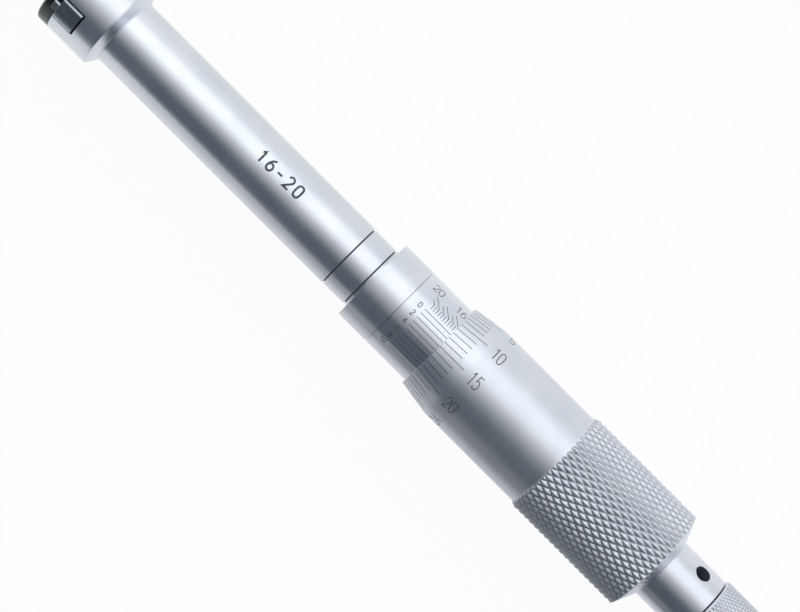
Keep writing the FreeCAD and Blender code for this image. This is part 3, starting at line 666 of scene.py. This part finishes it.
def makeHoleLining():
    radius, wall, soft = nodeSpan("ratchet_body")[2], lining["wall"], lining["edge"]
    outer = ratchet["holeRadius"] - lining["gap"]
    bottom, top = radius - ratchet["holeDepth"] + lining["gap"], radius - lining["top"]
    corners = [(bottom, 0, 0), (bottom, outer, soft), (top, outer, soft), (top, outer - wall, soft),
               (bottom + wall, outer - wall, soft), (bottom + wall, 0, 0)]
    cup, faces = turnedSurface(roundedPath(corners), ratchet["holeSegments"])
    return makeMesh("hole_lining", intoHole(cup), faces, recalculate=True)


addPiece("spanner_hole_lining", makeHoleLining(), oilDarkAndGapShade, "thimble_group", "black_screw_steel")

# Knob: a knurled cap over the toothed disc and its spring
knob = {"frontEdge": 0.35, "rearEdge": 0.7, "cavity": 4.6, "cavityLength": 7.0, "screwBore": 1.3, "headBore": 2.7,
        "headSink": 2.0, "knurlCount": 52, "knurlPitch": 1.212, "samples": 8, "knurlDepth": 0.16, "crestFlat": 0.88,
        "edge": 0.05}


def makeKnob():
    front, rear, radius = nodeSpan("ratchet_knob")
    step = knob["knurlPitch"] / knob["samples"]
    rows = front + step * np.arange(int((rear - front) / step) + 1)
    envelope = np.interp(rows, [front, front + knob["frontEdge"], rear - knob["rearEdge"], rear],
                         [radius - knob["frontEdge"], radius, radius, radius - knob["rearEdge"]])
    soft = knob["edge"]
    corners = [(front, knob["cavity"], soft), *[(x, r, 0) for x, r in zip(rows, envelope)],
               (rear, radius - knob["rearEdge"], 0), (rear, knob["headBore"], soft),
               (rear - knob["headSink"], knob["headBore"], soft), (rear - knob["headSink"], knob["screwBore"], soft),
               (front + knob["cavityLength"], knob["screwBore"], soft),
               (front + knob["cavityLength"], knob["cavity"], soft)]
    zone = (front, rear, radius)
    points, faces, depth = knurledSurface(roundedPath(corners), zone, knob["knurlCount"], knob["knurlPitch"],
                                          knob["samples"], radius - knob["knurlDepth"], knob["crestFlat"])
    return makeMesh("ratchet_knob", points, faces, depth=depth, sharpAngle=80)


addPiece("ratchet_grip", makeKnob(), knurlChrome, "ratchet_group", "satin_chrome", "ratchet_knob")

# Ratchet screw: its slotted head sits in the knob's rear recess
endScrew = {"shank": 1.25, "headLength": 1.4, "edge": 0.12, "slot": 0.6, "segments": 160}


def makeEndScrew():
    tip, rear, radius = nodeSpan("ratchet_screw")
    seat = rear - endScrew["headLength"]
    corners = [(tip, 0, 0), (tip, endScrew["shank"], 0.1), (seat, endScrew["shank"], fineEdge), (seat, radius, 0.05),
               (rear, radius, endScrew["edge"]), (rear, 0, 0)]
    points, faces = turnedSurface(roundedPath(corners), endScrew["segments"])
    half = endScrew["slot"] / 2
    slot = np.array([[half, -radius - 1], [half, radius + 1], [-half, radius + 1], [-half, -radius - 1]])
    cutter = prism(slot, [(rear - endScrew["slot"], 0), (rear + 1, 0)])
    return cutOut(makeMesh("ratchet_screw", points, faces), [cutter])


addPiece("end_screw", makeEndScrew(), ground, "thimble_group", "ground_steel", "ratchet_screw")


# Marks: lines and plain numbers engraved and filled

def curve(centreX, centreY, reachX, reachY, start, end, count=14, squareness=1.0):
    # part of an oval, between two angles in degrees; squareness under 1 fills its corners
    a = np.radians(np.linspace(start, end, count))
    return np.stack([centreX + reachX * np.sign(np.cos(a)) * np.abs(np.cos(a)) ** squareness,
                     centreY + reachY * np.sign(np.sin(a)) * np.abs(np.sin(a)) ** squareness], 1)


# Each character is a few strokes in a box 0.58 wide and 1 high
characters = {
    "0": [curve(0.29, 0.5, 0.27, 0.5, 0, 360, 33, 0.72)],
    "1": [np.array([[0.12, 0.78], [0.34, 1.0], [0.34, 0.0]])],
    "2": [np.vstack([curve(0.29, 0.72, 0.25, 0.28, 165, -38), [[0.04, 0.0], [0.56, 0.0]]])],
    "3": [np.vstack([curve(0.28, 0.75, 0.23, 0.25, 150, -90), curve(0.28, 0.26, 0.27, 0.26, 90, -150)])],
    "4": [np.array([[0.42, 0.0], [0.42, 1.0], [0.03, 0.27], [0.58, 0.27]])],
    "5": [np.vstack([[[0.52, 1.0], [0.11, 1.0], [0.08, 0.55]], curve(0.28, 0.33, 0.27, 0.33, 125, -150)])],
    "6": [curve(0.29, 0.3, 0.26, 0.3, 0, 360, 25), np.array([[0.47, 1.0], [0.2, 0.8], [0.07, 0.55], [0.03, 0.3]])],
    "8": [curve(0.29, 0.75, 0.22, 0.25, 0, 360, 21), curve(0.29, 0.26, 0.27, 0.26, 0, 360, 25)],
    "-": [np.array([[0.06, 0.45], [0.52, 0.45]])],
}


def written(text, x, around, height, step, widening=1.0):
    # strokes of a text whose lower left corner is at x along the axis and at a length round it; up is towards +Y
    strokes = []
    for index, letter in enumerate(text):
        for stroke in characters[letter]:
            placed = stroke * height * [widening, 1]
            strokes.append(np.stack([x + index * step + placed[:, 0], around - placed[:, 1]], 1))
    return strokes


def filledLine(stroke, width, surface, lift=0.006, sink=0.05):
    # A stroke, given as lengths along the axis and round it, becomes a thin closed bar that follows the surface: an
    # oblong carried along the stroke, its corners half a width to each side, bent so that angle = length / radius.
    lengths = np.r_[0, np.cumsum(np.linalg.norm(np.diff(stroke, axis=0), axis=1))]
    places = np.unique(np.r_[lengths, np.arange(0, lengths[-1], 0.3)])
    line = np.stack([np.interp(places, lengths, stroke[:, side]) for side in (0, 1)], 1)
    closed = np.allclose(line[0], line[-1])
    if closed:
        line = line[:-1]
        before, after = line - np.roll(line, 1, 0), np.roll(line, -1, 0) - line
    else:
        steps = np.diff(line, axis=0)
        before, after = np.vstack([steps[:1], steps]), np.vstack([steps, steps[-1:]])
    before /= np.linalg.norm(before, axis=1)[:, None]
    after /= np.linalg.norm(after, axis=1)[:, None]
    across = np.stack([-before[:, 1] - after[:, 1], before[:, 0] + after[:, 0]], 1)
    across /= np.maximum(1 + (before * after).sum(1), 0.4)[:, None]
    left, right = line + across * width / 2, line - across * width / 2
    sides = []
    for side, height in ((left, lift), (right, lift), (right, -sink), (left, -sink)):
        radius = surface(side[:, 0]) + height
        angle = side[:, 1] / surface(np.zeros(1) + 1e6)
        sides.append(np.stack([side[:, 0], -radius * np.sin(angle), radius * np.cos(angle)], 1))
    points = np.stack(sides, 1).reshape(-1, 3)
    faces = gridFaces(len(line), 4, closed).tolist()
    if not closed:
        faces += [[0, 1, 2, 3], [len(points) - 4 + corner for corner in range(4)]]
    return points, faces


def addMarks(name, groups, surface, body):
    parts = [filledLine(stroke, width, surface) for strokes, width in groups for stroke in strokes]
    points, faces = joined(parts)
    addPiece(name, makeMesh(name, points, faces, recalculate=True), blackEnamel, body, "black_screw_steel")


def straight(xFrom, aroundFrom, xTo, aroundTo):
    return np.array([[xFrom, aroundFrom], [xTo, aroundTo]], float)


# The measuring range on the tube
rangeMark = {"text": "16-20", "x": 39.0, "angle": -4.5, "height": 2.0, "step": 1.9, "width": 0.36}
tubeRadius = head["tubeRadius"]
addMarks("range_mark", [(written(rangeMark["text"], rangeMark["x"], math.radians(rangeMark["angle"]) * tubeRadius,
                                 rangeMark["height"], rangeMark["step"]), rangeMark["width"])],
         lambda x: np.full(np.shape(x), tubeRadius), "holder")

# Sleeve: a main scale of 0.5 mm ticks with bent leaders to its numbers, and a vernier of eleven lines
sleeve = {"lowLine": 78.544, "tickFrom": -24.0, "tickTo": -31.6, "width": 0.1, "labelHeight": 1.57, "labelStep": 1.07,
          "labelWidth": 0.13, "labelAround": -6.15, "vernierFrom": 72.9, "vernierTo": 79.6, "vernierStart": -19.2,
          "vernierStep": 6.48, "vernierLabel": 71.75, "vernierHeight": 0.87, "vernierLetter": 0.62,
          "labels": {"20": 71.6, "16": 76.25},
          "leaders": {16: 1.5, 17: 0.95, 18: 1.5, 19: 0.95, 20: 1.5, 21: 0.65}}


def sleeveMarks():
    radius = nodeSpan("graduated_sleeve")[2]
    low, high = math.radians(sleeve["tickFrom"]) * radius, math.radians(sleeve["tickTo"]) * radius
    lines = []
    for value in np.arange(16, 21.01, 0.5):
        x = sleeve["lowLine"] - (value - 16)
        lean = sleeve["leaders"].get(value)
        lines.append(np.array([[x, low], [x, high], [x - lean, high - lean]]) if lean else straight(x, low, x, high))
    for index in range(11):
        around = math.radians(sleeve["vernierStart"] + index * sleeve["vernierStep"]) * radius
        lines.append(straight(sleeve["vernierFrom"], around, sleeve["vernierTo"], around))
    labels = []
    for text, x in sleeve["labels"].items():
        labels += written(text, x, sleeve["labelAround"], sleeve["labelHeight"], sleeve["labelStep"])
    for index in range(0, 11, 2):
        around = math.radians(sleeve["vernierStart"] + index * sleeve["vernierStep"]) * radius
        text = str(index)
        x = sleeve["vernierLabel"] - sleeve["vernierLetter"] * (len(text) - 1)
        labels += written(text, x, around + sleeve["vernierHeight"] / 2, sleeve["vernierHeight"],
                          sleeve["vernierLetter"])
    return [(lines, sleeve["width"]), (labels, sleeve["labelWidth"])]


sleeveRadius = nodeSpan("graduated_sleeve")[2]
addMarks("sleeve_scale", sleeveMarks(), lambda x: np.full(np.shape(x), sleeveRadius), "holder")

# Thimble: fifty lines on the bevel and a number at every fifth
thimbleScale = {"count": 50, "zeroAngle": -108.48, "shortLength": 3.7, "longLength": 5.05, "width": 0.12,
                "numberAt": 6.3, "height": 2.2, "letterStep": 1.15, "narrowing": 0.74, "numberWidth": 0.16}


def thimbleMarks():
    front = nodeSpan("thimble")[0]
    radius = thimble["waist"]
    lines, numbers = [], []
    for index in range(thimbleScale["count"]):
        around = math.radians(thimbleScale["zeroAngle"] + 360 * index / thimbleScale["count"]) * radius
        isLong = index % 5 == 0
        length = thimbleScale["longLength"] if isLong else thimbleScale["shortLength"]
        lines.append(straight(front + 0.04, around, front + length, around))
        if isLong:
            text = str(index)
            x = front + thimbleScale["numberAt"] + thimbleScale["letterStep"] * (2 - len(text)) / 2
            numbers += written(text, x, around + thimbleScale["height"] / 2, thimbleScale["height"],
                               thimbleScale["letterStep"], thimbleScale["narrowing"])
    return [(lines, thimbleScale["width"]), (numbers, thimbleScale["numberWidth"])]


def bevelRadius(x):
    # radius of the thimble's outer side, read from its own outline
    path = thimbleOutline()[0]
    outer = path[(path[:, 1] > thimble["lip"] - 0.1) & (path[:, 0] < nodeSpan("thimble")[0] + thimble["waistLength"])]
    outer = outer[np.argsort(outer[:, 0])]
    return np.interp(x, outer[:, 0], outer[:, 1])


addMarks("thimble_scale", thimbleMarks(), bevelRadius, "thimble_group")

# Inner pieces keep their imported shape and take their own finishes
innerFinishes = {"measuring_cone": ground, "push_rod": ground, "guide_bush": bronze, "rod_return_spring": springWire,
                 "anvil_spring": springWire, "spindle": ground, "thrust_ball": ground, "spindle_nut": bronze,
                 "adjusting_nut": ground, "ratchet_disc": ground, "ratchet_spring": springWire}
for name, material in innerFinishes.items():
    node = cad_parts[name]
    node.data.materials.clear()
    node.data.materials.append(material)

# Studio: white paper under wide soft light from the upper left, with a dark side to the right
studio = {"floorZ": -9.2, "floorSize": 3000.0, "cameraAt": (70.0, 0.1, 454.5), "lens": 135.0, "sensor": 36.0,
          "floorGlow": 1.0, "floorShare": 0.95, "frontGlow": 0.9, "rearGlow": 0.23, "shadowLength": 90.0,
          "shadowWidth": 48.0}
# Light levels, given in round numbers: the room is plain white, the others are shares of it
light = {"room": "#ffffff", "wall": "#60686e", "softbox": 1.4, "zenith": 0.6, "headLevel": 1.1, "rearLevel": 0.9,
         "leanReach": 0.15}


def makeFloor():
    half = studio["floorSize"] / 2
    corners = np.array([[-half, -half], [half, -half], [half, half], [-half, half]])
    points = np.hstack([corners, np.full((4, 1), studio["floorZ"])])
    mesh = bpy.data.meshes.new("floor")
    mesh.from_pydata((points * millimetre).tolist(), [], [(0, 1, 2, 3)])
    floor = bpy.data.objects.new("floor", mesh)
    bpy.context.scene.collection.objects.link(floor)
    material = bpy.data.materials.new("white_paper")
    material.use_nodes = True
    tree = material.node_tree
    tree.nodes.clear()
    path = addNode(tree, "ShaderNodeLightPath")
    paper = addNode(tree, "ShaderNodeBsdfDiffuse", inputs={"Color": linearColor("#f2f3f4")})
    # in reflections the paper glows evenly on the +Y side and dims on the -Y side, more so to the rear: a painted
    # shadow of the tool on the paper, seen only in reflections
    spot = addNode(tree, "ShaderNodeNewGeometry")
    place = addNode(tree, "ShaderNodeSeparateXYZ", inputs={"Vector": (spot, "Position")})
    rearward = mapRange(tree, (place, "X"), 0.0, studio["shadowLength"] * millimetre,
                        studio["frontGlow"], studio["rearGlow"])
    sideways = mapRange(tree, (place, "Y"), -studio["shadowWidth"] * millimetre, 0.0, rearward, studio["floorGlow"])
    strength = addNode(tree, "ShaderNodeMix", inputs={0: (path, "Is Camera Ray"), 2: sideways,
                                                      3: studio["floorGlow"]})
    glow = addNode(tree, "ShaderNodeEmission", inputs={"Color": linearColor("#ffffff"), "Strength": (strength, 0)})
    seen = addNode(tree, "ShaderNodeMath", {"operation": "MULTIPLY_ADD"},
                   {0: (path, "Is Camera Ray"), 1: studio["floorShare"], 2: (path, "Is Glossy Ray")})
    mixed = addNode(tree, "ShaderNodeMixShader",
                    inputs={0: (seen, "Value"), 1: (paper, "BSDF"), 2: (glow, "Emission")})
    addNode(tree, "ShaderNodeOutputMaterial", inputs={"Surface": (mixed, "Shader")})
    mesh.materials.append(material)


def makeWorld():
    # The light that comes from a direction depends on its angle round the X axis, in degrees from straight up towards
    # -Y: a white room, a softbox on the +Y side and a grey wall on the -Y side. It is stronger towards the head.
    world = bpy.data.worlds.new("studio")
    bpy.context.scene.world = world
    world.use_nodes = True
    tree = world.node_tree
    tree.nodes.clear()
    place = addNode(tree, "ShaderNodeTexCoord")
    parts = addNode(tree, "ShaderNodeSeparateXYZ", inputs={"Vector": (place, "Generated")})
    minusY = addNode(tree, "ShaderNodeMath", {"operation": "MULTIPLY"}, {0: (parts, "Y"), 1: -1.0})
    angle = addNode(tree, "ShaderNodeMath", {"operation": "ARCTAN2"}, {0: (minusY, "Value"), 1: (parts, "Z")})
    share = mapRange(tree, (angle, "Value"), -math.pi, math.pi)
    room, wall = linearColor(light["room"]), linearColor(light["wall"])
    softbox, zenith = ((*[part * light[name] for part in room[:3]], 1.0) for name in ("softbox", "zenith"))
    stops = [(-180, room), (-65, room), (-50, softbox), (-20, softbox), (5, zenith), (35, wall), (80, wall),
             (110, room)]
    ramp = addNode(tree, "ShaderNodeValToRGB", inputs={"Fac": share})
    elements = ramp.color_ramp.elements
    elements.remove(elements[1])
    for stop, (degrees, color) in enumerate(stops):
        element = elements[0] if stop == 0 else elements.new(degrees / 360 + 0.5)
        element.position = degrees / 360 + 0.5
        element.color = color
    lean = mapRange(tree, (parts, "X"), -light["leanReach"], light["leanReach"], light["headLevel"],
                    light["rearLevel"], "SMOOTHSTEP")
    path = addNode(tree, "ShaderNodeLightPath")
    shown = addNode(tree, "ShaderNodeMix", {"data_type": "RGBA"},
                    {0: (path, "Is Camera Ray"), 6: (ramp, "Color"), 7: (1.0, 1.0, 1.0, 1.0)})
    level = addNode(tree, "ShaderNodeMix", inputs={0: (path, "Is Camera Ray"), 2: lean, 3: 1.0})
    glow = addNode(tree, "ShaderNodeBackground", inputs={"Color": (shown, 2), "Strength": (level, 0)})
    addNode(tree, "ShaderNodeOutputWorld", inputs={"Surface": (glow, "Background")})


def makeCamera():
    # straight above, with the tool's axis running down to the right at 45 degrees
    data = bpy.data.cameras.new("camera")
    data.lens = studio["lens"]
    data.sensor_width = studio["sensor"]
    data.clip_end = 100
    camera = bpy.data.objects.new("camera", data)
    bpy.context.scene.collection.objects.link(camera)
    diagonal = math.sqrt(0.5)
    x, y, z = (value * millimetre for value in studio["cameraAt"])
    camera.matrix_world = Matrix(((diagonal, -diagonal, 0, x), (diagonal, diagonal, 0, y), (0, 0, 1, z),
                                  (0, 0, 0, 1)))
    bpy.context.scene.camera = camera


makeFloor()
makeWorld()
makeCamera()
bpy.context.scene.view_settings.view_transform = "Standard"
print("studio made")
